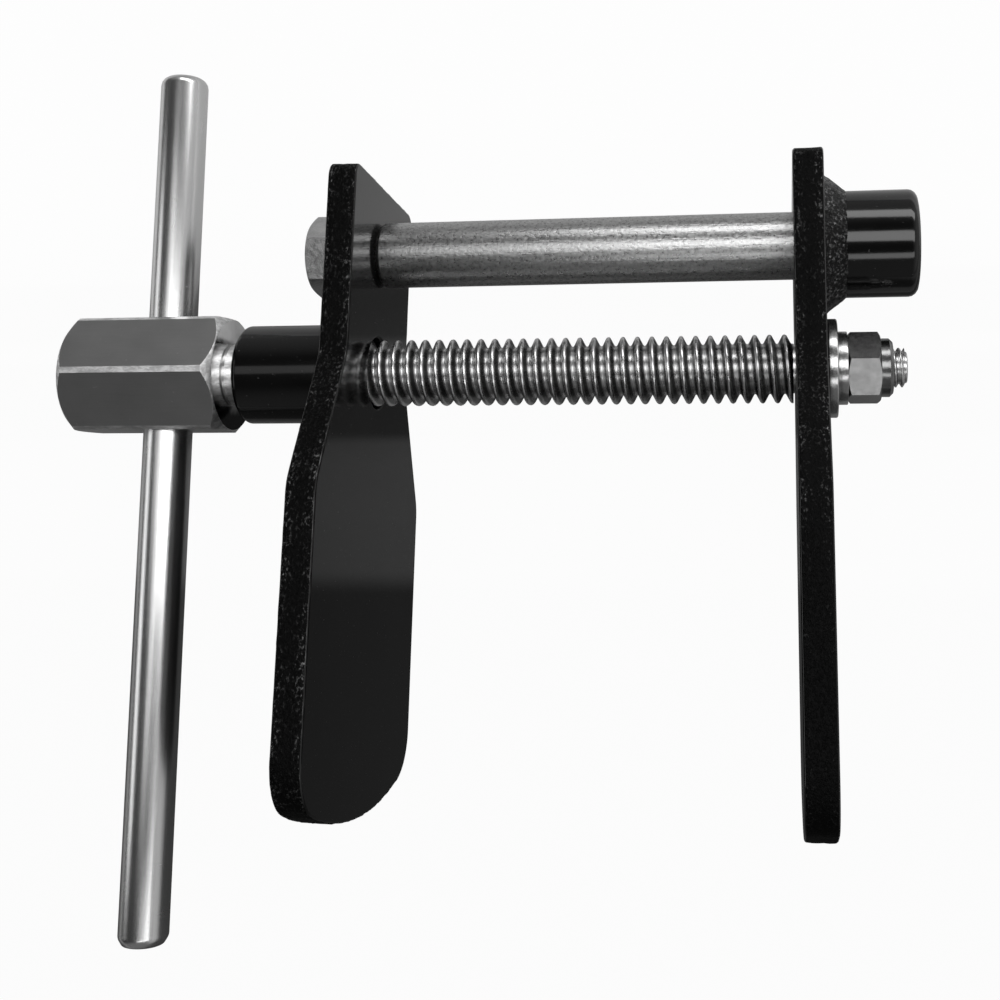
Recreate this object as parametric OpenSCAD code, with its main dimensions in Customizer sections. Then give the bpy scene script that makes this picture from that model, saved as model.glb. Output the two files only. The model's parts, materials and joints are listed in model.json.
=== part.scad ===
// Brake caliper piston tool: a lead screw drives a moving jaw plate along a guide rod, away from
// a fixed jaw plate, to push brake pads and pistons back into their caliper.
// Working axes: X runs along the screw from the hex head to the lock nut, Y runs from the paddles
// up to the guide rod, Z runs across the plates. X is 0 at the fixed jaw's inner face, and the
// screw's axis is the line Y = Z = 0. in_place() then sets the tool down on its paddles' edges.

/* [Jaw plates] */
// Thickness of each jaw plate
plate_thickness = 6; // [5:0.5:10]
// Width of the narrow upper part of a jaw plate
neck_width = 42; // [36:1:52]
// Width of the paddle that presses on a pad or piston
paddle_width = 70; // [60:1:90]
// Height of the plate's top edge above the weld of the guide boss
plate_top_margin = 0.2; // [0:0.1:10]
// Depth of the paddle's lower end below the screw axis
plate_drop = 90; // [75:1:120]
// Height above the screw axis at which the shoulders start
shoulder_start = 1; // [-4:1:6]
// Height of the sloping shoulders
shoulder_height = 27; // [15:1:35]
// Radius of the crowned lower end of the paddle
crown_radius = 95; // [60:1:200]
// Radius of the paddle's lower corners
paddle_corner_radius = 11; // [4:1:18]
// Radius of the plate's top corners
neck_corner_radius = 3; // [1:0.5:8]
// Radius that blends the shoulders into the neck and the paddle
shoulder_blend_radius = 9; // [2:1:12]
// Distance between the jaws' inner faces, as the tool was left
jaw_gap = 87.5; // [40:0.5:120]

/* [Lead screw] */
// Outside diameter of the screw thread
screw_diameter = 14; // [12:0.5:18]
// Pitch of the screw thread
thread_pitch = 3; // [2:0.1:5]
// Depth of the screw thread
thread_depth = 1.9; // [1:0.1:2.2]
// Width of the thread's flat crests
thread_crest = 0.5; // [0.3:0.1:0.8]
// Width of the thread's flat roots
thread_root = 0.3; // [0.2:0.1:0.8]
// Depth of the plain neck beside the hex head, below the thread's crests
screw_neck_depth = 0.3; // [0.1:0.1:3]
// Length of the plain neck beside the hex head
screw_neck_length = 3.5; // [2:0.5:4.5]
// Height of the shoulder from the thread down to the journal that turns in the moving jaw
journal_shoulder = 2; // [0.5:0.1:2.5]
// Free play along the journal on each side of the moving jaw
journal_end_play = 0.4; // [0.3:0.1:0.8]
// Height of the shoulder from the journal down to the threaded stud that takes the lock nut
stud_shoulder = 1; // [0.5:0.1:1.5]
// Length of the stud that stands out of the lock nut
stud_protrusion = 2.8; // [1:0.1:6]
// Turn of the screw about its axis, in degrees, as the tool was left
screw_rest_turn = 3.4; // [-30:0.1:30]

/* [Hex head and tommy bar] */
// Size of the hex head across its flats
hex_across_flats = 24; // [22:0.5:32]
// Length of the hex head
hex_length = 34.5; // [28:0.5:45]
// Clear distance between the hex head and the screw boss
head_gap = 3.2; // [3:0.1:12]
// Distance from the head's inner end to the axis of the tommy bar's hole
bar_hole_setback = 14.4; // [11:0.1:18]
// Step from the head's flats in to the round end faces left by its chamfers
hex_face_inset = 0.2; // [0:0.1:2]
// Slope of the head's chamfers, in degrees
hex_chamfer_angle = 45; // [15:1:50]
// Diameter of the tommy bar
bar_diameter = 10.2; // [8:0.1:12]
// Length of the tommy bar
bar_length = 184; // [120:1:260]
// Position of the bar's middle along its hole, measured from the screw axis
bar_rest_offset = -25; // [-40:1:40]
// Radius that rounds the ends of the tommy bar
bar_end_radius = 2; // [0.5:0.5:3.5]

/* [Screw boss] */
// Wall of the threaded boss on the fixed jaw
screw_boss_wall = 3.4; // [2.5:0.1:8]
// Length of the threaded boss
screw_boss_length = 23; // [15:0.5:35]
// Chamfer on the boss's free end
screw_boss_chamfer = 1; // [0.5:0.1:2]
// Leg of the weld between the boss and the fixed jaw
screw_weld_leg = 3; // [1.5:0.1:5]
// Length of that weld along the boss
screw_weld_length = 3.6; // [1.5:0.1:6]

/* [Guide rod and guide boss] */
// Diameter of the guide rod
rod_diameter = 14; // [12:0.5:18]
// Chamfer on the rod's ends
rod_end_chamfer = 0.9; // [0.5:0.1:1.5]
// Distance of the rod's free end inside the mouth of the guide boss
rod_end_setback = 2; // [0.5:0.5:8]
// Wall of the guide boss on the moving jaw
guide_boss_wall = 3.9; // [2.6:0.1:7]
// Length of the guide boss
guide_boss_length = 19; // [12:0.5:35]
// Radius that rounds the guide boss's free end
guide_boss_edge_radius = 1.8; // [0.5:0.1:2.5]
// Leg of the weld between the guide boss and the moving jaw
guide_weld_leg = 3.7; // [1.5:0.1:6]
// Length of that weld along the guide boss
guide_weld_length = 4.8; // [1.5:0.1:7]
// Clear distance between the guide boss's weld and the thrust washer
weld_washer_gap = 1.1; // [0.5:0.1:6]

/* [Guide rod bolt] */
// Thread diameter of the bolt that holds the guide rod
bolt_diameter = 10; // [6:0.5:10]
// Width of the bolt's head from its thread's hole out to its flats
bolt_head_rim = 2.4; // [2:0.1:5]
// Height of the bolt's head
bolt_head_height = 6.8; // [4:0.1:8]
// Depth of the bolt's thread in the rod
bolt_engagement = 18; // [10:1:25]
// Width of the spring washer under the bolt's head
bolt_washer_rim = 3.3; // [2:0.1:5]
// Thickness of the spring washer under the bolt's head
bolt_washer_thickness = 2.2; // [1:0.1:3]
// Turn of the bolt's head about its axis, in degrees
bolt_turn = 46; // [0:1:59]

/* [Lock nut and washers] */
// Width of the flat thrust washer from its hole to its rim
thrust_washer_rim = 5.8; // [3:0.1:8]
// Thickness of the flat thrust washer
thrust_washer_thickness = 2; // [1:0.1:3]
// Width of the spring washer under the nut
nut_washer_rim = 3.2; // [2:0.1:4]
// Thickness of the spring washer under the nut
nut_washer_thickness = 2; // [1:0.1:3]
// Wall of the lock nut from its thread to its flats
nut_wall = 2.3; // [2:0.1:4]
// Height of the lock nut's hex
nut_hex_height = 6.5; // [4:0.1:9]
// Height of the round collar that holds the nylon ring
nut_collar_height = 2.4; // [2:0.1:3.5]
// Step from the nut's flats in to the round collar
nut_collar_step = 0.6; // [0.2:0.1:0.9]
// Wall of the round collar
collar_wall = 0.7; // [0.4:0.1:0.7]
// Thickness of the nylon ring inside the collar
insert_thickness = 1.6; // [1:0.1:1.8]
// Turn of the lock nut about its axis, in degrees
nut_turn = 52; // [0:1:59]

/* [Fits] */
// Radial running clearance of the screw, the rod, the journal and the bar in their holes
running_clearance = 0.08; // [0.02:0.01:0.1]
// Radial clearance of fixed fasteners in their threads and washers
fastener_clearance = 0.2; // [0.05:0.05:0.3]
// Radial clearance of the screw where it passes through the fixed jaw plate
screw_passage_clearance = 0.5; // [0.3:0.1:1]
// Width of the split in the spring washers
washer_split = 1.2; // [0.5:0.1:2]
// Slope of the chamfers on the bolt's head and the lock nut, in degrees
fastener_chamfer_angle = 30; // [15:1:45]

/* [Hidden] */
$fn = 96;

paint_black = [0.05, 0.05, 0.05];
turned_steel = [0.72, 0.72, 0.73];
ground_steel = [0.62, 0.62, 0.63];
zinc_plate = [0.80, 0.80, 0.82];
nylon_white = [0.88, 0.88, 0.86];

// Small overlap that keeps cutting tools clear of the faces they cut through
cut_margin = 1;

// Slight excess of a rounding circle, so that it crosses its edges instead of only touching them
round_excess = 0.0005;

// Section of a fillet weld, as shares of its leg and its length
weld_section = [[0, 0], [1, 0], [0.76, 0.32], [0.32, 0.76], [0, 1]];

// Slant of the split in a spring washer, in degrees
split_slant = 20;

// Places along X, from the hex head to the stud's end
fixed_outer = -plate_thickness;
screw_boss_end = fixed_outer - screw_boss_length;
hex_inner = screw_boss_end - head_gap;
hex_outer = hex_inner - hex_length;
bar_x = hex_inner - bar_hole_setback;
moving_inner = jaw_gap;
moving_outer = moving_inner + plate_thickness;
guide_boss_end = moving_outer + guide_boss_length;
thread_end = moving_inner - journal_end_play;
journal_end = moving_outer + journal_end_play;
thrust_washer_end = journal_end + thrust_washer_thickness;
nut_start = thrust_washer_end + nut_washer_thickness;
collar_start = nut_start + nut_hex_height;
nut_end = collar_start + nut_collar_height;
stud_end = nut_end + stud_protrusion;
rod_end = guide_boss_end - rod_end_setback;
bolt_seat = fixed_outer - bolt_washer_thickness;
bolt_outer = bolt_seat - bolt_head_height;

// Diameters that follow from the screw, the rod and the bolt
journal_diameter = screw_diameter - 2 * journal_shoulder;
stud_diameter = journal_diameter - 2 * stud_shoulder;
screw_bore = screw_diameter + 2 * running_clearance;
guide_bore = rod_diameter + 2 * running_clearance;
journal_bore = journal_diameter + 2 * running_clearance;
bar_bore = bar_diameter + 2 * running_clearance;
stud_bore = stud_diameter + 2 * fastener_clearance;
bolt_bore = bolt_diameter + 2 * fastener_clearance;
screw_passage = screw_diameter + 2 * screw_passage_clearance;
screw_boss_diameter = screw_bore + 2 * screw_boss_wall;
guide_boss_diameter = guide_bore + 2 * guide_boss_wall;
thrust_washer_diameter = stud_bore + 2 * thrust_washer_rim;
nut_washer_diameter = stud_bore + 2 * nut_washer_rim;
bolt_washer_diameter = bolt_bore + 2 * bolt_washer_rim;
nut_across_flats = stud_bore + 2 * nut_wall;
bolt_across_flats = bolt_bore + 2 * bolt_head_rim;

// Rings that stand for the screw thread, counted back from the moving jaw
thread_flank = (thread_pitch - thread_crest - thread_root) / 2;
neck_end = hex_inner + screw_neck_length;
thread_rings = floor((thread_end - neck_end - screw_neck_depth) / thread_pitch);
thread_start = thread_end - thread_rings * thread_pitch;

// Nylon ring in the lock nut's collar
collar_radius = nut_across_flats / 2 - nut_collar_step;
ring_radius = collar_radius - collar_wall;
ring_start = collar_start + (nut_collar_height - insert_thickness) / 2;
ring_end = ring_start + insert_thickness;

// Heights above the screw axis
guide_weld_radius = guide_boss_diameter / 2 + guide_weld_leg;
rod_offset = thrust_washer_diameter / 2 + weld_washer_gap + guide_weld_radius;
plate_rise = rod_offset + guide_weld_radius + plate_top_margin;

// Outline of a jaw plate
shoulder_end = shoulder_start - shoulder_height;
crown_centre = crown_radius - plate_drop;
corner_side = paddle_width / 2 - paddle_corner_radius;
corner_reach = crown_radius - paddle_corner_radius;
corner_height = crown_centre - sqrt(pow(corner_reach, 2) - pow(corner_side, 2));

// Box of the whole tool at rest, used to set its origin
function bar_reach(length) = (length - bar_end_radius) * cos(screw_rest_turn)
    + (bar_diameter / 2 - bar_end_radius) * abs(sin(screw_rest_turn)) + bar_end_radius;
box_top = max(plate_rise, bar_reach(bar_length / 2 + bar_rest_offset));
box_bottom = min(-plate_drop, -bar_reach(bar_length / 2 - bar_rest_offset));
box_right = max(guide_boss_end, stud_end);
tool_origin = [(hex_outer + box_right) / 2, (box_top + box_bottom) / 2, -paddle_width / 2];

// Sets the tool down with its origin at the middle of its box's underside
module in_place() {
    translate(-tool_origin) children();
}

// Turns a piece with the screw to the angle at which the tool was left
module on_screw() {
    in_place() rotate([screw_rest_turn, 0, 0]) children();
}

// Places a piece on the guide rod's axis
module on_rod() {
    in_place() translate([0, rod_offset, 0]) children();
}

// Revolves an outline of [radius, X] points about the X axis
module turned(outline) {
    rotate([0, 90, 0]) rotate_extrude() polygon(outline);
}

// Round bar or cutter along X from one place to another
module round_x(from, to, diameter) {
    translate([from, 0, 0]) rotate([0, 90, 0]) cylinder(h = to - from, d = diameter);
}

// Six-sided bar along X with a corner towards Z
module hex_x(from, to, across_flats) {
    translate([from, 0, 0]) rotate([0, 90, 0])
        cylinder(h = to - from, d = across_flats / cos(30), $fn = 6);
}

// Sliver between a sharp corner and the round that replaces it
module corner_sliver(corner, toward_a, toward_b, radius) {
    side_a = toward_a / norm(toward_a);
    side_b = toward_b / norm(toward_b);
    half_angle = acos(side_a * side_b) / 2;
    middle = (side_a + side_b) / norm(side_a + side_b);
    centre = corner + middle * radius / sin(half_angle);
    reach = radius / tan(half_angle);
    difference() {
        polygon([corner, corner + side_a * reach, centre, corner + side_b * reach]);
        translate(centre) circle(r = radius + round_excess);
    }
}

// What the crowned end takes off the paddle's square end
module crown_waste() {
    difference() {
        translate([-plate_drop - cut_margin, -paddle_width])
            square([corner_height + plate_drop + cut_margin, 2 * paddle_width]);
        translate([crown_centre, 0]) circle(r = crown_radius);
    }
}

// What the round between the crown and the paddle's side takes off
module paddle_corner_waste() {
    crown_touch = [crown_centre, 0]
        + [corner_height - crown_centre, corner_side] * crown_radius / corner_reach;
    difference() {
        polygon([
            [corner_height, corner_side],
            [corner_height, paddle_width / 2],
            [-plate_drop, paddle_width / 2],
            crown_touch
        ]);
        translate([corner_height, corner_side]) circle(r = paddle_corner_radius + round_excess);
    }
}

// Outline of a jaw plate: height along its first axis, width along its second
module plate_outline() {
    neck_corner = [plate_rise, neck_width / 2];
    shoulder_top = [shoulder_start, neck_width / 2];
    shoulder_bottom = [shoulder_end, paddle_width / 2];
    paddle_corner = [-plate_drop, paddle_width / 2];
    slope = shoulder_bottom - shoulder_top;
    side = [neck_corner, shoulder_top, shoulder_bottom, paddle_corner];
    difference() {
        union() {
            polygon(concat(side, [for (i = [3:-1:0]) [side[i][0], -side[i][1]]]));
            for (half = [0, 1]) mirror([0, half])
                corner_sliver(shoulder_top, [1, 0], slope, shoulder_blend_radius);
        }
        crown_waste();
        for (half = [0, 1]) mirror([0, half]) {
            corner_sliver(neck_corner, [-1, 0], [0, -1], neck_corner_radius);
            corner_sliver(shoulder_bottom, -slope, [-1, 0], shoulder_blend_radius);
            paddle_corner_waste();
        }
    }
}

// Blank of a jaw plate with its inner or outer face at the given place
module plate_blank(from) {
    translate([from, 0, 0]) rotate([90, 0, 90]) linear_extrude(plate_thickness) plate_outline();
}

// Fillet weld round a boss, from the plate's face outwards along direction
module weld_bead(face, direction, boss_diameter, leg, length) {
    turned([
        for (point = weld_section)
            [boss_diameter / 2 + leg * point[0], face + direction * length * point[1]]
    ]);
}

// Split spring washer
module spring_washer(from, thickness, outer, inner) {
    difference() {
        round_x(from, from + thickness, outer);
        round_x(from - cut_margin, from + thickness + cut_margin, inner);
        translate([from + thickness / 2, 0, 0]) rotate([0, split_slant, 0])
            translate([-outer / 2, 0, -washer_split / 2]) cube([outer, outer, washer_split]);
    }
}

module fixed_jaw_plate() {
    color(paint_black) in_place() difference() {
        plate_blank(fixed_outer);
        round_x(fixed_outer - cut_margin, cut_margin, screw_passage);
        translate([0, rod_offset, 0]) round_x(fixed_outer - cut_margin, cut_margin, bolt_bore);
    }
}

module screw_boss() {
    outer = screw_boss_diameter / 2;
    inner = screw_bore / 2;
    color(paint_black) in_place() turned([
        [inner, fixed_outer],
        [outer, fixed_outer],
        [outer, screw_boss_end + screw_boss_chamfer],
        [outer - screw_boss_chamfer, screw_boss_end],
        [inner, screw_boss_end]
    ]);
}

module screw_boss_weld() {
    color(paint_black) in_place()
        weld_bead(fixed_outer, -1, screw_boss_diameter, screw_weld_leg, screw_weld_length);
}

module guide_rod() {
    outer = rod_diameter / 2;
    color(ground_steel) on_rod() difference() {
        turned([
            [0, 0],
            [outer - rod_end_chamfer, 0],
            [outer, rod_end_chamfer],
            [outer, rod_end - rod_end_chamfer],
            [outer - rod_end_chamfer, rod_end],
            [0, rod_end]
        ]);
        round_x(-cut_margin, bolt_engagement + cut_margin, bolt_bore);
    }
}

module guide_rod_bolt() {
    head = bolt_across_flats / 2;
    corner = head / cos(30);
    color(zinc_plate) on_rod() union() {
        rotate([bolt_turn, 0, 0]) intersection() {
            hex_x(bolt_outer, bolt_seat, bolt_across_flats);
            turned([
                [0, bolt_outer],
                [head, bolt_outer],
                [corner, bolt_outer + (corner - head) * tan(fastener_chamfer_angle)],
                [corner, bolt_seat],
                [0, bolt_seat]
            ]);
        }
        round_x(bolt_outer + bolt_head_height / 2, bolt_engagement, bolt_diameter);
    }
}

module bolt_spring_washer() {
    color(zinc_plate) on_rod()
        spring_washer(bolt_seat, bolt_washer_thickness, bolt_washer_diameter, bolt_bore);
}

module moving_jaw_plate() {
    color(paint_black) in_place() difference() {
        plate_blank(moving_inner);
        round_x(moving_inner - cut_margin, moving_outer + cut_margin, journal_bore);
        translate([0, rod_offset, 0])
            round_x(moving_inner - cut_margin, moving_outer + cut_margin, guide_bore);
    }
}

module guide_boss() {
    outer = guide_boss_diameter / 2;
    inner = guide_bore / 2;
    round_centre = [outer - guide_boss_edge_radius, guide_boss_end - guide_boss_edge_radius];
    color(paint_black) on_rod() rotate([0, 90, 0]) rotate_extrude() difference() {
        translate([inner, moving_outer]) square([outer - inner, guide_boss_length]);
        difference() {
            translate(round_centre) square(guide_boss_edge_radius + cut_margin);
            translate(round_centre) circle(r = guide_boss_edge_radius);
        }
    }
}

module guide_boss_weld() {
    color(paint_black) on_rod()
        weld_bead(moving_outer, 1, guide_boss_diameter, guide_weld_leg, guide_weld_length);
}

// Hex head with both ends chamfered to round faces
module hex_head() {
    face = hex_across_flats / 2 - hex_face_inset;
    corner = hex_across_flats / 2 / cos(30);
    drop = (corner - face) * tan(hex_chamfer_angle);
    intersection() {
        hex_x(hex_outer, hex_inner, hex_across_flats);
        turned([
            [0, hex_outer],
            [face, hex_outer],
            [corner, hex_outer + drop],
            [corner, hex_inner - drop],
            [face, hex_inner],
            [0, hex_inner]
        ]);
    }
}

// Outline of one groove of the thread, between the middles of two crests
function thread_groove(from) = let (crest = screw_diameter / 2, root = crest - thread_depth) [
    [crest, from + thread_crest / 2],
    [root, from + thread_crest / 2 + thread_flank],
    [root, from + thread_pitch - thread_crest / 2 - thread_flank],
    [crest, from + thread_pitch - thread_crest / 2]
];

module lead_screw() {
    thread = screw_diameter / 2;
    neck = thread - screw_neck_depth;
    journal = journal_diameter / 2;
    stud = stud_diameter / 2;
    stud_chamfer = stud / 6;
    color(turned_steel) on_screw() difference() {
        union() {
            hex_head();
            turned(concat(
                [[0, hex_inner], [neck, hex_inner], [neck, neck_end], [thread, thread_start]],
                [for (i = [0:thread_rings - 1]) each thread_groove(thread_start + i * thread_pitch)],
                [[thread, thread_end], [journal, thread_end]],
                [[journal, journal_end], [stud, journal_end]],
                [[stud, stud_end - stud_chamfer], [stud - stud_chamfer, stud_end], [0, stud_end]]
            ));
        }
        translate([bar_x, -hex_across_flats, 0]) rotate([-90, 0, 0])
            cylinder(h = 2 * hex_across_flats, d = bar_bore);
    }
}

module thrust_washer() {
    color(zinc_plate) on_screw() difference() {
        round_x(journal_end, thrust_washer_end, thrust_washer_diameter);
        round_x(journal_end - cut_margin, thrust_washer_end + cut_margin, stud_bore);
    }
}

module nut_spring_washer() {
    color(zinc_plate) on_screw()
        spring_washer(thrust_washer_end, nut_washer_thickness, nut_washer_diameter, stud_bore);
}

module lock_nut() {
    flat = nut_across_flats / 2;
    corner = flat / cos(30);
    drop = (corner - flat) * tan(fastener_chamfer_angle);
    color(zinc_plate) on_screw() rotate([nut_turn, 0, 0]) difference() {
        union() {
            intersection() {
                hex_x(nut_start, collar_start, nut_across_flats);
                turned([
                    [0, nut_start],
                    [flat, nut_start],
                    [corner, nut_start + drop],
                    [corner, collar_start - drop],
                    [flat, collar_start],
                    [0, collar_start]
                ]);
            }
            turned([
                [0, collar_start],
                [collar_radius, collar_start],
                [collar_radius, nut_end - collar_wall],
                [ring_radius, nut_end],
                [0, nut_end]
            ]);
        }
        round_x(nut_start - cut_margin, nut_end + cut_margin, stud_bore);
        round_x(ring_start, ring_end, 2 * ring_radius);
        round_x(ring_start, nut_end + cut_margin, 2 * (ring_radius - collar_wall));
    }
}

module nut_insert() {
    color(nylon_white) on_screw() turned([
        [stud_bore / 2, ring_start],
        [ring_radius, ring_start],
        [ring_radius, ring_end],
        [stud_bore / 2, ring_end]
    ]);
}

module tommy_bar() {
    radius = bar_diameter / 2;
    round_radial = radius - bar_end_radius;
    half_straight = bar_length / 2 - bar_end_radius;
    color(turned_steel) on_screw() translate([bar_x, bar_rest_offset, 0]) rotate([-90, 0, 0])
        rotate_extrude() {
            translate([0, -half_straight]) square([radius, 2 * half_straight]);
            for (end = [-1, 1]) {
                intersection() {
                    translate([round_radial, end * half_straight]) circle(r = bar_end_radius);
                    translate([0, -bar_length / 2]) square([radius, bar_length]);
                }
                translate([0, end > 0 ? half_straight : -bar_length / 2])
                    square([round_radial, bar_end_radius]);
            }
        }
}

fixed_jaw_plate();
screw_boss();
screw_boss_weld();
guide_rod();
guide_rod_bolt();
bolt_spring_washer();
moving_jaw_plate();
guide_boss();
guide_boss_weld();
lead_screw();
thrust_washer();
nut_spring_washer();
lock_nut();
nut_insert();
tommy_bar();
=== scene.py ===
import json
import math

import bmesh
import bpy
from mathutils import Matrix, Vector, noise


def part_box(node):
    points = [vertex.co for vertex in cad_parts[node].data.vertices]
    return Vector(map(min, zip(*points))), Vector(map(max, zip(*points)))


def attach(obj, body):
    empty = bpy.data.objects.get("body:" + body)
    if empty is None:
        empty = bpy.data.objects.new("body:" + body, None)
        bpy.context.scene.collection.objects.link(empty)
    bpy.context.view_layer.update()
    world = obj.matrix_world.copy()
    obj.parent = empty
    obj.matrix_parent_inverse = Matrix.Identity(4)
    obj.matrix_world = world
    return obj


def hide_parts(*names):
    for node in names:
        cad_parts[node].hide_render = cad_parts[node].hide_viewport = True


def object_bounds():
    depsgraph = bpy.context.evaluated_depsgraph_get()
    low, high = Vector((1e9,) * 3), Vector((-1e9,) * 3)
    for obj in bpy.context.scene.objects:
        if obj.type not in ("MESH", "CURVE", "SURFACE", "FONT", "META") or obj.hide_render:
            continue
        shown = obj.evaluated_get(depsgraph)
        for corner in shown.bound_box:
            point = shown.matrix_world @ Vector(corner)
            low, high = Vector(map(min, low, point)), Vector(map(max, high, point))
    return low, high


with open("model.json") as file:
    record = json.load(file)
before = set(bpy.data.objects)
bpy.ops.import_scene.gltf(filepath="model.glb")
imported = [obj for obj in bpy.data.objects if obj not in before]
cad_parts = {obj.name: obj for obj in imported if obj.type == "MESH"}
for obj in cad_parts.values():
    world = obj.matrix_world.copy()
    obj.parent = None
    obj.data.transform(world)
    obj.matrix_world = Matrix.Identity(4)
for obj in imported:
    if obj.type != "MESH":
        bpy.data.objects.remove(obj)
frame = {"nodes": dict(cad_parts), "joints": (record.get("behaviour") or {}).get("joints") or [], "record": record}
cad_low, cad_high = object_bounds()

MM = 0.001
SAME_PLACE = 1e-6
CUT_SLACK = 1e-7
BODY_OF_NODE = {
    node: body for body, nodes in frame["record"]["behaviour"]["bodies"].items() for node in nodes
}
JOINTS = {joint["name"]: joint for joint in frame["joints"]}


# Camera

camera_data = bpy.data.cameras.new("camera")
camera_data.sensor_width = 36
camera_data.lens = 48.6807
camera_data.shift_x = -0.085
camera_data.shift_y = -0.17
camera_data.clip_start = 0.01
camera = bpy.data.objects.new("camera", camera_data)
camera.location = (0.06247, -0.022971, 0.3087)
camera.rotation_euler = [math.radians(turn) for turn in (11.6865, 8.3759, 0.8058)]
bpy.context.scene.collection.objects.link(camera)
bpy.context.scene.camera = camera


# Finishes

class Flow:
    """An output of a finish's nodes. Arithmetic on it adds Math nodes."""

    def __init__(self, finish, socket):
        self.finish = finish
        self.socket = socket

    def maths(self, operation, first, second):
        return self.finish.node("ShaderNodeMath", {"operation": operation}, {0: first, 1: second})

    def __add__(self, other):
        return self.maths("ADD", self, other)

    def __sub__(self, other):
        return self.maths("SUBTRACT", self, other)

    def __rsub__(self, other):
        return self.maths("SUBTRACT", other, self)

    def __mul__(self, other):
        return self.maths("MULTIPLY", self, other)

    def __pow__(self, other):
        return self.maths("POWER", self, other)

    __radd__ = __add__
    __rmul__ = __mul__


class Finish:
    """A material made of nodes, with its patterns measured in millimetres."""

    def __init__(self, name, tree=None):
        if tree is None:
            self.material = bpy.data.materials.new(name)
            self.material.use_nodes = True
            tree = self.material.node_tree
        self.tree = tree
        self.tree.nodes.clear()

    def node(self, kind, settings=None, sockets=None, output=0):
        made = self.tree.nodes.new(kind)
        for key, value in (settings or {}).items():
            setattr(made, key, value)
        for key, value in (sockets or {}).items():
            if isinstance(value, Flow):
                self.tree.links.new(value.socket, made.inputs[key])
            else:
                made.inputs[key].default_value = value
        return Flow(self, made.outputs[output]) if made.outputs else None

    def place(self, stretch=(1, 1, 1), middle=(0, 0, 0)):
        """Object coordinates in millimetres from a middle, squeezed along each axis."""
        point = self.node("ShaderNodeTexCoord", output="Object")
        moved = self.node(
            "ShaderNodeVectorMath", {"operation": "SUBTRACT"}, {0: point, 1: tuple(middle)}
        )
        return self.node(
            "ShaderNodeVectorMath",
            {"operation": "MULTIPLY"},
            {0: moved, 1: tuple(share / MM for share in stretch)},
        )

    def grain(self, size, stretch=(1, 1, 1), detail=3.0, rough=0.55):
        """Noise from 0 to 1 whose blotches are about size millimetres across."""
        return self.node(
            "ShaderNodeTexNoise",
            sockets={
                "Vector": self.place(stretch),
                "Scale": 1 / size,
                "Detail": detail,
                "Roughness": rough,
            },
        )

    def between(self, flow, low, high, from_value=0.0, to_value=1.0):
        """Eases from one value to another while flow goes from low to high."""
        return self.node(
            "ShaderNodeMapRange",
            {"interpolation_type": "SMOOTHSTEP"},
            {"Value": flow, 1: low, 2: high, 3: from_value, 4: to_value},
        )

    def distance(self, flow, middle):
        return self.node("ShaderNodeMath", {"operation": "ABSOLUTE"}, {0: flow - middle})

    def bump(self, height, depth):
        """Relief that is depth millimetres deep."""
        return self.node(
            "ShaderNodeBump", sockets={"Height": height, "Distance": depth * MM, "Strength": 1.0}
        )

    def surface(self, **sockets):
        shader = self.node(
            "ShaderNodeBsdfPrincipled",
            sockets={key.replace("_", " "): value for key, value in sockets.items()},
        )
        self.node("ShaderNodeOutputMaterial", sockets={"Surface": shader})
        return self.material


def black_enamel():
    """Sprayed gloss black on the plates' faces and the bosses."""
    paint = Finish("black_enamel")
    peel = paint.grain(2.2, detail=1.0)
    haze = paint.grain(14, detail=2.0)
    dust = paint.between(paint.grain(0.6, detail=1.0), 0.72, 0.80)
    return paint.surface(
        Base_Color=0.002 + 0.003 * haze + 0.03 * dust,
        Roughness=0.09 + 0.06 * haze + 0.25 * dust,
        Normal=paint.bump(peel + 1.5 * dust, 0.004),
    )


def sheared_edge(name, node, shaded_end, lit_end):
    """Thin black over a plate's torn edges, rubbed through to grey grains.

    The grains lie mostly along both corners. Their fade with height is painted light: many bright grains high up,
    where the edge is lit, and few lower down, where it lies in shade.
    """
    paint = Finish(name)
    across = paint.node("ShaderNodeSeparateXYZ", sockets={0: paint.place()}, output="X")
    along = paint.node("ShaderNodeSeparateXYZ", sockets={0: paint.place()}, output="Y")
    corners = paint.between(paint.distance(across, middle_of(node).x / MM), 0.6, 2.4, 0.3, 1.25)
    # Painted light: the bright grains thin out from the lit height down to the shaded one.
    wear = paint.between(along, shaded_end / MM, lit_end / MM, 0.12, 1.0)
    torn = paint.grain(1.0, detail=3.0, rough=0.65)
    patches = paint.between(paint.grain(8, detail=2.0), 0.35, 0.65)
    grains = paint.between(
        paint.grain(0.55, stretch=(1, 0.6, 1), detail=3.0, rough=0.7), 0.46, 0.74
    )
    # Bright grains: metal rubbed through the paint, thinned out lower down as painted light.
    rubbed = grains * grains * (0.2 + 0.8 * patches) * corners * wear
    return paint.surface(
        Base_Color=0.001 + 0.24 * rubbed,
        Metallic=rubbed ** 0.5,
        Roughness=0.46 - 0.16 * grains * wear,
        Normal=paint.bump(torn + 0.5 * grains, 0.30),
        Specular_IOR_Level=0.06,
    )


def weld_skin():
    """Gloss black over the frozen ripples and bright spatter of a weld."""
    paint = Finish("weld_skin")
    ripple = paint.grain(1.6, detail=3.0, rough=0.6)
    spatter = paint.between(paint.grain(0.7, detail=3.0, rough=0.7), 0.46, 0.70)
    return paint.surface(
        Base_Color=0.001 + 0.34 * spatter * spatter,
        Metallic=spatter,
        Roughness=0.36 - 0.14 * spatter,
        Normal=paint.bump(ripple + 0.4 * spatter, 0.45),
        Specular_IOR_Level=0.20,
    )


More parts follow.
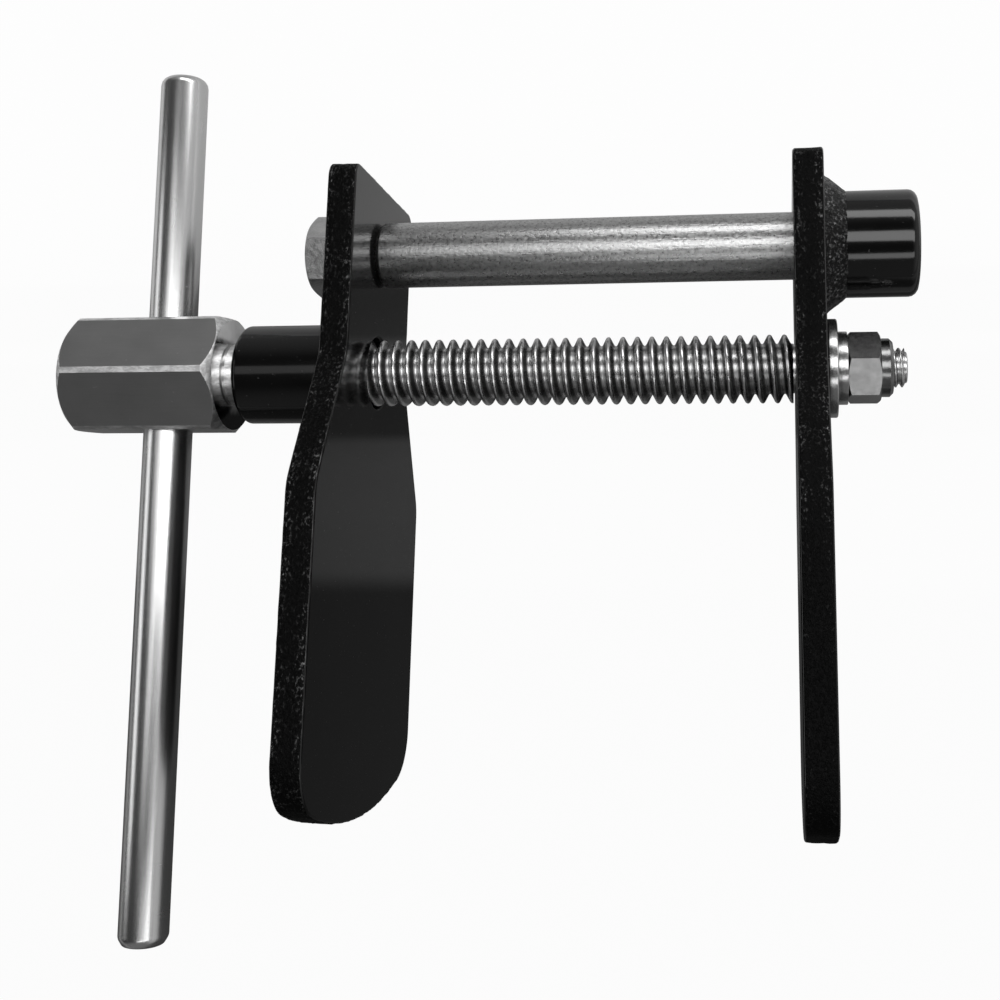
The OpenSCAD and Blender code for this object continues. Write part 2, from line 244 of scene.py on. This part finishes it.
def polished_bar():
    """Bright drawn bar, with fine lines along it and a few rub marks round it."""
    steel = Finish("polished_bar")
    lines = steel.grain(0.35, stretch=(1, 0.02, 1), detail=2.0)
    smears = steel.grain(6, stretch=(1, 0.12, 1), detail=3.0)
    rubs = steel.between(steel.grain(1.6, stretch=(0.05, 1, 0.05), detail=2.0), 0.68, 0.82)
    return steel.surface(
        Base_Color=0.54 + 0.18 * smears + 0.10 * lines - 0.14 * rubs,
        Metallic=1.0,
        Roughness=0.19 + 0.14 * smears + 0.08 * rubs,
        Normal=steel.bump(lines + 0.4 * rubs, 0.010),
    )


def drawn_rod():
    """Satin drawn rod with a mottled, handled skin."""
    steel = Finish("drawn_rod")
    mottle = steel.grain(0.6, stretch=(0.8, 1, 1), detail=3.0, rough=0.6)
    blotch = steel.grain(9, stretch=(0.5, 1, 1), detail=2.0)
    lines = steel.grain(0.3, stretch=(0.03, 1, 1), detail=2.0)
    return steel.surface(
        Base_Color=0.10 + 0.58 * mottle + 0.06 * blotch,
        Metallic=1.0,
        Roughness=0.20 + 0.18 * mottle,
        Normal=steel.bump(lines + 2.0 * mottle, 0.03),
    )


def milled_hex():
    """Satin milled flats of the screw's head, rubbed bright along the edges."""
    steel = Finish("milled_hex")
    cloud = steel.grain(7, detail=3.0)
    lines = steel.grain(0.25, stretch=(0.04, 1, 1), detail=2.0)
    specks = steel.between(steel.grain(0.7, detail=1.0), 0.72, 0.80)
    return steel.surface(
        Base_Color=0.34 + 0.08 * cloud + 0.05 * lines + 0.12 * specks,
        Metallic=1.0,
        Roughness=0.27 + 0.08 * cloud,
        Normal=steel.bump(lines + specks, 0.010),
    )


def rubbed_edge():
    """Corners of the hex head and the neck behind it, bright and lightly scuffed."""
    steel = Finish("rubbed_edge")
    wear = steel.grain(1.5, stretch=(0.3, 1, 1), detail=3.0)
    scuffs = steel.between(steel.grain(1.1, stretch=(0.45, 1, 1), detail=3.0), 0.36, 0.64)
    return steel.surface(
        Base_Color=0.50 + 0.20 * wear + 0.30 * scuffs,
        Metallic=1.0,
        Roughness=0.36 + 0.12 * wear,
        Normal=steel.bump(wear + scuffs, 0.02),
    )


def turned_face(axis):
    """Satin end of the hex head, with fine rings left by the tool, a film of oil that glosses all but its top, and
    painted shade that darkens its low side.
    """
    steel = Finish("turned_face")
    off_axis = steel.place(stretch=(0, 1, 1), middle=(0, *axis))
    radius = steel.node(
        "ShaderNodeVectorMath", {"operation": "LENGTH"}, {0: off_axis}, output="Value"
    )
    rings = steel.node("ShaderNodeMath", {"operation": "SINE"}, {0: 16 * radius})
    cloud = steel.grain(3, detail=2.0)
    height = steel.node("ShaderNodeSeparateXYZ", sockets={0: off_axis}, output="Y")
    thin_oil = steel.between(height + 2.0 * cloud, 8.5, 6.0)
    # Painted shade: the low side of the face is darkened, as where the neck and boss shade it.
    low_side_shade = steel.between(height + 3.0 * cloud, -4.0, -7.0)
    return steel.surface(
        Base_Color=(0.78 + 0.20 * cloud) * (1 - 0.94 * low_side_shade),
        Metallic=1.0,
        Roughness=0.86 - 0.74 * thin_oil,
        Normal=steel.bump(rings, 0.001),
    )


def rolled_thread(axis, root, crest):
    """Thread with lighter crests, partly rubbed bright and partly painted highlight, painted highlights in its
    roots, and flanks left dark as painted shade.
    """
    steel = Finish("rolled_thread")
    off_axis = steel.place(stretch=(0, 1, 1), middle=(0, *axis))
    radius = steel.node(
        "ShaderNodeVectorMath", {"operation": "LENGTH"}, {0: off_axis}, output="Value"
    )
    depth = (crest - root) / MM
    # Painted light: crests and roots are made lighter than the flanks, where the lamps' highlights run along the
    # thread.
    crest_wear_and_sheen = steel.between(radius, crest / MM - 0.35 * depth, crest / MM - 0.10 * depth)
    root_sheen = steel.between(radius, root / MM + 0.30 * depth, root / MM + 0.10 * depth)
    wear = steel.grain(1.8, detail=3.0)
    return steel.surface(
        Base_Color=0.15 + 0.18 * wear + 0.50 * crest_wear_and_sheen + 0.40 * root_sheen,
        Metallic=1.0,
        Roughness=0.20 + 0.16 * wear,
        Normal=steel.bump(wear, 0.03),
    )


def zinc_plate(name, shine):
    """Zinc on the bolt, the nut and the washers, at its full shine or duller."""
    zinc = Finish(name)
    spangle = zinc.grain(1.1, detail=3.0)
    cloud = zinc.grain(4, detail=2.0)
    return zinc.surface(
        Base_Color=shine * (0.26 + 0.34 * cloud + 0.16 * spangle),
        Metallic=1.0,
        Roughness=0.14 + 0.18 * spangle,
        Normal=zinc.bump(spangle, 0.022),
    )


def nylon_ring():
    """Off-white nylon of the lock nut's ring."""
    nylon = Finish("nylon_ring")
    cloud = nylon.grain(1.5, detail=2.0)
    return nylon.surface(
        Base_Color=0.66 + 0.10 * cloud,
        Roughness=0.42 + 0.12 * cloud,
        Normal=nylon.bump(cloud, 0.02),
    )


# Modelling

def middle_of(node):
    low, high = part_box(node)
    return (low + high) / 2


def radius_of(node):
    """Half the size along Y of a round node that lies along X."""
    low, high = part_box(node)
    return (high.y - low.y) / 2


SCREW_AXIS = middle_of("screw_boss").yz
ROD_AXIS = middle_of("guide_boss").yz
HOLES = [SCREW_AXIS, ROD_AXIS]
HOLE_RIM = 9 * MM
ROD_RADIUS = radius_of("guide_rod")
BORE_PLAY = 0.08 * MM
THREAD_CREST = 7 * MM
THREAD_DEPTH = 1.9 * MM
THREAD_PITCH = 3 * MM
THREAD_PHASE = 1.74 * MM
STUD_CREST = 4 * MM
STUD_DEPTH = 0.7 * MM
STUD_PITCH = 1.25 * MM
STUD_BORE = 4.2 * MM

# Places in a piece's row of finishes. Its other faces keep the first, at 0.
PLATE_EDGE = 1
SCREW_THREAD, SCREW_RUBBED, SCREW_FACED = 1, 2, 3


def merge(shape):
    bmesh.ops.remove_doubles(shape, verts=shape.verts, dist=SAME_PLACE)


def tidy(shape):
    merge(shape)
    bmesh.ops.recalc_face_normals(shape, faces=shape.faces)


def draw(shape, points):
    """Joins points into a line and gives its vertices."""
    verts = [shape.verts.new(point) for point in points]
    for pair in zip(verts, verts[1:]):
        shape.edges.new(pair)
    return verts


def round_corner(shape, vert, rounding, segments):
    """Rounds a corner of a drawn line and gives the new vertices."""
    made = bmesh.ops.bevel(
        shape, geom=[vert], offset=rounding, offset_type="OFFSET", segments=segments,
        profile=0.5, affect="VERTICES", material=-1,
    )
    return made["verts"]


def cut_off(shape, place, way):
    """Takes away what lies past a place along X, towards +X or -X, and leaves the cut open."""
    bmesh.ops.bisect_plane(
        shape, geom=shape.verts[:] + shape.edges[:] + shape.faces[:], dist=CUT_SLACK,
        plane_co=(place, 0, 0), plane_no=(way, 0, 0), clear_outer=True,
    )


def close_cuts(shape):
    rims = [edge for edge in shape.edges if edge.is_boundary]
    bmesh.ops.holes_fill(shape, edges=rims, sides=0)


def add_copy(shape, part):
    """Moves a part's faces into a shape."""
    held = bpy.data.meshes.new("held")
    part.to_mesh(held)
    part.free()
    shape.from_mesh(held)
    bpy.data.meshes.remove(held)


def add_turned(shape, axis, outline, steps=96):
    """Spins an outline of (place along X, radius, rounding of that corner) about a line along X."""
    verts = draw(shape, [(x, axis[0] + radius, axis[1]) for x, radius, _ in outline])
    drawn = list(verts)
    for vert, (_, _, rounding) in zip(verts, outline):
        if rounding:
            drawn += round_corner(shape, vert, rounding, segments=4)
    drawn = [vert for vert in dict.fromkeys(drawn) if vert.is_valid]
    edges = list(dict.fromkeys(edge for vert in drawn for edge in vert.link_edges))
    bmesh.ops.spin(
        shape, geom=drawn + edges, cent=(0, *axis), axis=(1, 0, 0), dvec=(0, 0, 0),
        angle=math.tau, steps=steps, use_merge=True, use_duplicate=False,
    )


def turned(axis, outline, steps=96):
    shape = bmesh.new()
    add_turned(shape, axis, outline, steps)
    tidy(shape)
    smooth(shape)
    return shape


def add_thread(shape, axis, start, end, crest, depth, pitch, phase=0.0, steps=40):
    """Screws one tooth's outline along X, then cuts both ends square and closes them."""
    part = bmesh.new()
    first = start - 2 * pitch + phase % pitch
    root = axis[0] + crest - depth
    tooth = [(0, 0), (0.07, 0), (0.40, 1), (0.60, 1), (0.93, 0), (1, 0)]
    verts = draw(
        part, [(first + share * pitch, root + rise * depth, axis[1]) for share, rise in tooth]
    )
    for vert in verts[1:-1]:
        round_corner(part, vert, 0.10 * pitch, segments=3)
    bmesh.ops.spin(
        part, geom=part.verts[:] + part.edges[:], cent=(0, *axis), axis=(1, 0, 0),
        dvec=(pitch / steps, 0, 0), angle=math.tau, steps=steps, use_merge=False,
        use_duplicate=False,
    )
    turn = bpy.data.meshes.new("turn")
    part.to_mesh(turn)
    turns_past_ends = 3
    for _ in range(math.ceil((end - start) / pitch) + turns_past_ends):
        turn.transform(Matrix.Translation((pitch, 0, 0)))
        part.from_mesh(turn)
    bpy.data.meshes.remove(turn)
    merge(part)
    cut_off(part, start, -1)
    cut_off(part, end, 1)
    close_cuts(part)
    tidy(part)
    add_copy(shape, part)


def copy_of(node):
    """A merged copy of a CAD node, with its flat faces whole again."""
    shape = bmesh.new()
    shape.from_mesh(frame["nodes"][node].data)
    merge(shape)
    as_good_as_flat = math.radians(0.6)
    bmesh.ops.dissolve_limit(
        shape, angle_limit=as_good_as_flat, verts=shape.verts, edges=shape.edges,
        use_dissolve_boundaries=False,
    )
    return shape


def soften(shape, edges, width, segments):
    """Rounds edges over and gives the faces of the rounds."""
    made = bmesh.ops.bevel(
        shape, geom=edges, offset=width, offset_type="OFFSET", segments=segments, profile=0.5,
        affect="EDGES", clamp_overlap=True, material=-1,
    )
    return made["faces"]


def sharp_edges(shape, angle):
    return [
        edge for edge in shape.edges
        if len(edge.link_faces) == 2 and edge.calc_face_angle() > math.radians(angle)
    ]


def smooth(shape, flat=lambda face: False):
    """Smooth shading on all faces but the flat ones."""
    for face in shape.faces:
        face.smooth = not flat(face)


def wide(face):
    return face.calc_area() > 8 * MM**2


def finish_all(shape, place):
    """Gives all faces the finish at a place in the piece's row of finishes."""
    for face in shape.faces:
        face.material_index = place


def piece(name, shape, node, slot, *finishes):
    """Turns a shape into the piece that stands for a CAD node and moves with its body."""
    mesh = bpy.data.meshes.new(name)
    shading = [face.smooth for face in shape.faces]
    shape.to_mesh(mesh)
    shape.free()
    for finish in finishes:
        mesh.materials.append(finish)
    crease = math.radians(32)
    mesh.set_sharp_from_angle(angle=crease)
    mesh.polygons.foreach_set("use_smooth", shading)
    made = bpy.data.objects.new(name, mesh)
    bpy.context.scene.collection.objects.link(made)
    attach(made, BODY_OF_NODE[node])
    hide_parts(node)


def span(edge):
    return edge.verts[0].co - edge.verts[1].co


def at_hole(point):
    return any((point.yz - hole).length < HOLE_RIM for hole in HOLES)


def cut_for_tears(shape):
    """Divides the plate's outline into short lengths, apart from its holes."""
    tear_length = 1.1 * MM
    for face in [face for face in shape.faces if abs(face.normal.x) < 0.5]:
        if at_hole(face.calc_center_median()):
            continue
        along = [edge for edge in face.edges if abs(span(edge).normalized().x) < 0.5]
        cuts = int(along[0].calc_length() / tear_length)
        if cuts:
            bmesh.ops.subdivide_edges(shape, edges=along, cuts=cuts, use_grid_fill=True)


def tear(shape):
    """Raises and sinks the plate's outline by small lumps, apart from its holes."""
    depth, coarse, fine = 0.16 * MM, 1.9 * MM, 0.9 * MM
    for vert in shape.verts:
        out = Vector((0, *vert.normal.yz))
        if out.length > 0.2 and not at_hole(vert.co):
            lump = noise.noise(vert.co / coarse) + 0.5 * noise.noise(vert.co / fine)
            vert.co += out.normalized() * (lump - 0.5) * depth


def jaw_plate(node):
    """A sheared plate: softened edges, and torn lumps all along its outline."""
    shape = copy_of(node)
    cut_for_tears(shape)
    soften(shape, sharp_edges(shape, 60), 0.55 * MM, 3)
    across = [
        edge for edge in shape.edges
        if abs(span(edge).x) > 4 * MM
        and all(abs(face.normal.x) < 0.3 for face in edge.link_faces)
    ]
    bmesh.ops.subdivide_edges(shape, edges=across, cuts=4, use_grid_fill=True)
    shape.normal_update()
    tear(shape)
    shape.normal_update()
    smooth(shape, lambda face: abs(face.normal.x) > 0.999)
    for face in shape.faces:
        face.material_index = PLATE_EDGE if abs(face.normal.x) < 0.45 else 0
    return shape


def weld_bead(node, boss_node, axis, outward):
    """A fillet weld: a ring with frozen ripples and uneven toes."""
    low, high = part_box(node)
    toe = radius_of(node)
    boss = radius_of(boss_node)
    leg = toe - boss
    length = high.x - low.x
    plate_face = low.x if outward > 0 else high.x
    section = [
        (1, 0.02), (0.90, 0.12), (0.74, 0.28), (0.56, 0.46), (0.38, 0.64), (0.20, 0.82),
        (0.04, 0.98),
    ]
    sunk = 0.3 * MM
    foot = plate_face - outward * sunk
    outline = [(foot, boss - sunk, 0), (foot, toe - sunk, 0)]
    outline += [
        (plate_face + outward * along * length, boss + out * leg, 0) for out, along in section
    ]
    outline += [(plate_face + outward * length, boss - sunk, 0), outline[0]]
    shape = turned(axis, outline, steps=150)
    middle = Vector((0, *axis))
    ripples, wander, blob = 34, 4 * MM, 1.6 * MM
    for vert in shape.verts:
        radial = Vector((0, *vert.co.yz)) - middle
        rise = abs(vert.co.x - plate_face)
        if radial.length < boss or rise < 0.05 * length:
            continue
        around = math.atan2(radial.z, radial.y)
        lean = 2.5 * noise.noise(vert.co / wander) + rise / length * 2.2
        ripple = math.sin(around * ripples + lean)
        lump = noise.noise(vert.co / blob)
        vert.co += vert.normal * (0.05 * ripple + 0.28 * lump - 0.12) * MM
    shape.normal_update()
    return shape


def lead_screw():
    """Hex head and neck, the long drive thread, the journal and the threaded stud."""
    head_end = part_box("screw_boss")[0].x - 2.2 * MM
    shape = hex_head(head_end)
    neck_radius = THREAD_CREST - 0.3 * MM
    neck_start, neck_end = head_end - 0.5 * MM, head_end + 2.6 * MM
    neck = turned(SCREW_AXIS, [
        (neck_start, 0, 0),
        (neck_start, neck_radius, 0),
        (neck_end, neck_radius, 0),
        (neck_end, 0, 0),
    ])
    finish_all(neck, SCREW_RUBBED)
    add_copy(shape, neck)
    add_copy(shape, threaded_parts(head_end))
    return shape


def hex_head(end):
    """The head, with flats across its long corners and all its edges rubbed bright."""
    shape = copy_of("lead_screw")
    cut_off(shape, end, 1)
    close_cuts(shape)
    bmesh.ops.recalc_face_normals(shape, faces=shape.faces)
    long_corners = [edge for edge in sharp_edges(shape, 45) if abs(span(edge).x) > 15 * MM]
    for face in soften(shape, long_corners, 0.75 * MM, 1):
        face.material_index = SCREW_RUBBED
    for face in soften(shape, sharp_edges(shape, 18), 0.18 * MM, 2):
        face.material_index = SCREW_RUBBED
    shape.normal_update()
    for face in shape.faces:
        if face.normal.x > 0.99:
            face.material_index = SCREW_FACED
        elif 0.3 < abs(face.normal.x) < 0.99:
            face.material_index = SCREW_RUBBED
    smooth(shape, wide)
    return shape


def threaded_parts(head_end):
    """Drive thread, journal and stud, up to the screw's far end."""
    thread_start = head_end + 2.3 * MM
    thread_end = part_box("moving_jaw_plate")[0].x - 0.4 * MM
    journal_start = thread_end - 1 * MM
    journal_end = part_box("thrust_washer")[0].x
    journal_radius = THREAD_CREST - 2 * MM
    stud_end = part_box("lead_screw")[1].x
    tip_start = stud_end - 2 * MM
    shape = bmesh.new()
    add_turned(shape, SCREW_AXIS, [
        (journal_start, 0, 0),
        (journal_start, journal_radius, 0),
        (journal_end, journal_radius, 0.2 * MM),
        (journal_end, 0, 0),
    ])
    add_turned(shape, SCREW_AXIS, [
        (tip_start, 0, 0),
        (tip_start, STUD_CREST - 0.75 * MM, 0),
        (stud_end, STUD_CREST - 0.85 * MM, 0.3 * MM),
        (stud_end, 0, 0),
    ])
    add_thread(
        shape, SCREW_AXIS, thread_start, thread_end, THREAD_CREST, THREAD_DEPTH, THREAD_PITCH,
        phase=THREAD_PHASE,
    )
    add_thread(
        shape, SCREW_AXIS, journal_end - 0.3 * MM, stud_end - 0.5 * MM, STUD_CREST, STUD_DEPTH,
        STUD_PITCH, steps=32,
    )
    tidy(shape)
    smooth(shape)
    finish_all(shape, SCREW_THREAD)
    return shape


def tommy_bar():
    """Round bar across the head, with one end rounded over and the other chamfered."""
    way = Vector(JOINTS["bar_slide"]["axis"]).normalized()
    low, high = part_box("tommy_bar")
    middle = (low + high) / 2
    radius = (high.x - low.x) / 2
    reach_of_tilted_end = 0.5 * radius * abs(way.z)
    half = ((high.y - low.y) / 2 - reach_of_tilted_end) / way.y
    shape = turned((0, 0), [
        (-half, 0, 0),
        (-half, radius - 0.9 * MM, 0.35 * MM),
        (-half + 1.5 * MM, radius, 0.5 * MM),
        (half - 0.2 * MM, radius, 2.0 * MM),
        (half, 0, 0),
    ])
    turn = Vector((1, 0, 0)).rotation_difference(way).to_matrix()
    bmesh.ops.transform(shape, matrix=turn.to_4x4(), verts=shape.verts)
    bmesh.ops.translate(shape, vec=middle, verts=shape.verts)
    return shape


def screw_boss():
    low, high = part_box("screw_boss")
    outer = radius_of("screw_boss")
    bore = THREAD_CREST + BORE_PLAY
    return turned(SCREW_AXIS, [
        (high.x, bore, 0),
        (high.x, outer, 0),
        (low.x + 1.0 * MM, outer, 0.35 * MM),
        (low.x, outer - 1.0 * MM, 0.35 * MM),
        (low.x, bore + 0.6 * MM, 0.1 * MM),
        (low.x + 0.6 * MM, bore, 0.1 * MM),
        (high.x, bore, 0),
    ])


def guide_boss():
    low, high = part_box("guide_boss")
    outer = radius_of("guide_boss")
    bore = ROD_RADIUS + BORE_PLAY
    return turned(ROD_AXIS, [
        (low.x, bore, 0),
        (low.x, outer, 0),
        (high.x, outer, 1.9 * MM),
        (high.x, bore + 0.7 * MM, 0.2 * MM),
        (high.x - 0.7 * MM, bore, 0.2 * MM),
        (low.x, bore, 0),
    ])


def guide_rod():
    low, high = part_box("guide_rod")
    chamfer, rounding = 0.9 * MM, 0.15 * MM
    return turned(ROD_AXIS, [
        (low.x, 0, 0),
        (low.x, ROD_RADIUS - chamfer, 0),
        (low.x + chamfer, ROD_RADIUS, rounding),
        (high.x - chamfer, ROD_RADIUS, rounding),
        (high.x, ROD_RADIUS - chamfer, rounding),
        (high.x, 0, 0),
    ])


def ring(node, axis, bore, rounding):
    """A plain washer or ring with its edges rounded over."""
    low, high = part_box(node)
    outer = radius_of(node)
    return turned(axis, [
        (low.x, bore, 0),
        (low.x, outer, rounding),
        (high.x, outer, rounding),
        (high.x, bore, rounding * 0.7),
        (low.x, bore, 0),
    ])


def softened(node, width):
    """A copy of a CAD node with its sharp edges rounded over."""
    shape = copy_of(node)
    soften(shape, sharp_edges(shape, 22), width, 2)
    smooth(shape, wide)
    return shape


# Pieces

ENAMEL = black_enamel()
# Each edge's two heights set where its painted glints fade: few at the first height, many at the second.
FIXED_EDGE = sheared_edge("fixed_plate_edge", "fixed_jaw_plate", -88 * MM, -30 * MM)
MOVING_EDGE = sheared_edge("moving_plate_edge", "moving_jaw_plate", -16 * MM, 6 * MM)
WELD = weld_skin()
BAR = polished_bar()
ROD = drawn_rod()
HEX = milled_hex()
RUBBED = rubbed_edge()
FACED = turned_face(SCREW_AXIS)
THREAD = rolled_thread(SCREW_AXIS, THREAD_CREST - THREAD_DEPTH, THREAD_CREST)
ZINC = zinc_plate("zinc_plate", 1.0)
DULL_ZINC = zinc_plate("dull_zinc", 0.4)
NYLON = nylon_ring()

piece(
    "fixed_plate", jaw_plate("fixed_jaw_plate"), "fixed_jaw_plate", "black_paint",
    ENAMEL, FIXED_EDGE,
)
piece(
    "moving_plate", jaw_plate("moving_jaw_plate"), "moving_jaw_plate", "black_paint",
    ENAMEL, MOVING_EDGE,
)
piece("threaded_boss", screw_boss(), "screw_boss", "black_paint", ENAMEL)
piece(
    "threaded_boss_weld", weld_bead("screw_boss_weld", "screw_boss", SCREW_AXIS, -1),
    "screw_boss_weld", "black_paint", WELD,
)
piece("sliding_boss", guide_boss(), "guide_boss", "black_paint", ENAMEL)
piece(
    "sliding_boss_weld", weld_bead("guide_boss_weld", "guide_boss", ROD_AXIS, 1),
    "guide_boss_weld", "black_paint", WELD,
)
piece("rod", guide_rod(), "guide_rod", "drawn_steel", ROD)
piece("rod_bolt", softened("guide_rod_bolt", 0.25 * MM), "guide_rod_bolt", "zinc", ZINC)
piece(
    "rod_bolt_washer", softened("bolt_spring_washer", 0.2 * MM), "bolt_spring_washer",
    "zinc", ZINC,
)
piece("drive_screw", lead_screw(), "lead_screw", "turned_steel", HEX, THREAD, RUBBED, FACED)
piece(
    "flat_washer", ring("thrust_washer", SCREW_AXIS, STUD_BORE, 0.35 * MM), "thrust_washer",
    "zinc", ZINC,
)
piece("nut_washer", softened("nut_spring_washer", 0.18 * MM), "nut_spring_washer", "zinc", ZINC)
piece("nut", softened("lock_nut", 0.2 * MM), "lock_nut", "zinc", DULL_ZINC)
piece(
    "nut_ring", ring("nut_insert", SCREW_AXIS, STUD_BORE, 0.2 * MM), "nut_insert",
    "nylon", NYLON,
)
piece("cross_bar", tommy_bar(), "tommy_bar", "bright_bar", BAR)


# Floor, sky and lamps

def pale_floor():
    """Seen as white, but lit as a grey sheet, darker by the paddles, with painted shadows under the screw and the
    rod.
    """
    floor = Finish("pale_floor")
    camera_ray, glossy_ray, clear_ray = (
        floor.node("ShaderNodeLightPath", output=f"Is {kind} Ray")
        for kind in ("Camera", "Glossy", "Transmission")
    )
    across = floor.node("ShaderNodeSeparateXYZ", sockets={0: floor.place()}, output="X")
    along = floor.node("ShaderNodeSeparateXYZ", sockets={0: floor.place()}, output="Y")
    # Painted shadows: the sheet darkens in bands under the screw and the rod.
    clear_of_screw_shadow = floor.between(floor.distance(along, SCREW_AXIS.x / MM), 8, 11)
    clear_of_rod_shadow = floor.between(floor.distance(along, ROD_AXIS.x / MM - 4), 6, 9)
    sheet = floor.between(along, -21, -15, 0.0, 0.22) + floor.between(along, 34, 74, 0.0, 0.34)
    shaded = 0.02 + sheet * (0.1 + 0.9 * clear_of_screw_shadow) * (0.25 + 0.75 * clear_of_rod_shadow)
    beside = floor.between(floor.distance(across, 0), 110, 220)
    grey = shaded + 0.40 * beside
    matt = floor.node("ShaderNodeBsdfDiffuse", sockets={"Color": grey})
    glow = floor.node("ShaderNodeEmission", sockets={"Color": (1, 1, 1, 1), "Strength": 1.0})
    seen = 0.97 * camera_ray + 0.04 * (glossy_ray + clear_ray)
    mixed = floor.node("ShaderNodeMixShader", sockets={0: seen, 1: matt, 2: glow})
    floor.node("ShaderNodeOutputMaterial", sockets={"Surface": mixed})
    return floor.material


floor_shape = bmesh.new()
bmesh.ops.create_grid(floor_shape, x_segments=1, y_segments=1, size=6)
bmesh.ops.translate(floor_shape, vec=(0, 0, cad_low.z - 0.2 * MM), verts=floor_shape.verts)
floor_mesh = bpy.data.meshes.new("floor")
floor_shape.to_mesh(floor_mesh)
floor_shape.free()
floor_mesh.materials.append(pale_floor())
floor_object = bpy.data.objects.new("floor", floor_mesh)
bpy.context.scene.collection.objects.link(floor_object)


def studio_sky():
    """Dim room, paler low down past the guide rod, past the paddles and on the right."""
    world = bpy.data.worlds.new("studio")
    world.use_nodes = True
    bpy.context.scene.world = world
    sky = Finish("studio", world.node_tree)
    way = sky.node("ShaderNodeTexCoord", output="Generated")
    across = sky.node("ShaderNodeSeparateXYZ", sockets={0: way}, output="X")
    along = sky.node("ShaderNodeSeparateXYZ", sockets={0: way}, output="Y")
    far_side = sky.between(along, 0.4, 0.95, 0.0, 0.26)
    near_side = sky.between(along, -0.5, -0.9, 0.0, 0.14)
    right_side = sky.between(across, 0.3, 0.95, 0.0, 0.50)
    level = 0.03 + far_side + near_side + right_side
    seen = sky.node("ShaderNodeLightPath", output="Is Camera Ray")
    shade = sky.node("ShaderNodeBackground", sockets={"Color": (1, 1, 1, 1), "Strength": level})
    white = sky.node("ShaderNodeBackground", sockets={"Color": (1, 1, 1, 1), "Strength": 1.0})
    mixed = sky.node("ShaderNodeMixShader", sockets={0: seen, 1: shade, 2: white})
    sky.node("ShaderNodeOutputWorld", sockets={"Surface": mixed})


studio_sky()


def lamp(name, place, along, length, width, brightness):
    """Soft box that faces the tool. Brightness is what a mirror would show of it."""
    data = bpy.data.lights.new(name, "AREA")
    data.shape = "RECTANGLE"
    data.size, data.size_y = length, width
    data.energy = brightness * math.pi * length * width
    back = (Vector(place) - (cad_low + cad_high) / 2).normalized()
    side = (Vector(along) - back * back.dot(Vector(along))).normalized()
    made = bpy.data.objects.new(name, data)
    made.location = place
    made.rotation_euler = Matrix((side, back.cross(side), back)).transposed().to_euler()
    bpy.context.scene.collection.objects.link(made)


ALONG_X = (1, 0, 0)
ALONG_Y = (0, 1, 0)
lamp("overhead", (0.27, 0.07, 0.83), ALONG_X, 0.75, 0.30, 3.6)
lamp("overhead_left", (-0.34, 0.05, 0.76), ALONG_X, 0.36, 0.22, 0.65)
lamp("window", (-0.14, 0.04, 0.82), ALONG_X, 0.30, 0.62, 0.9)
lamp("upper_strip", (0.25, 0.66, 0.50), ALONG_X, 0.80, 0.24, 4.0)
lamp("lower_strip", (0.25, -0.49, 0.66), ALONG_X, 0.70, 0.16, 2.4)
lamp("left_box", (-0.74, 0.0, 0.33), ALONG_Y, 0.60, 0.26, 1.4)

bpy.context.scene.view_settings.view_transform = "Standard"
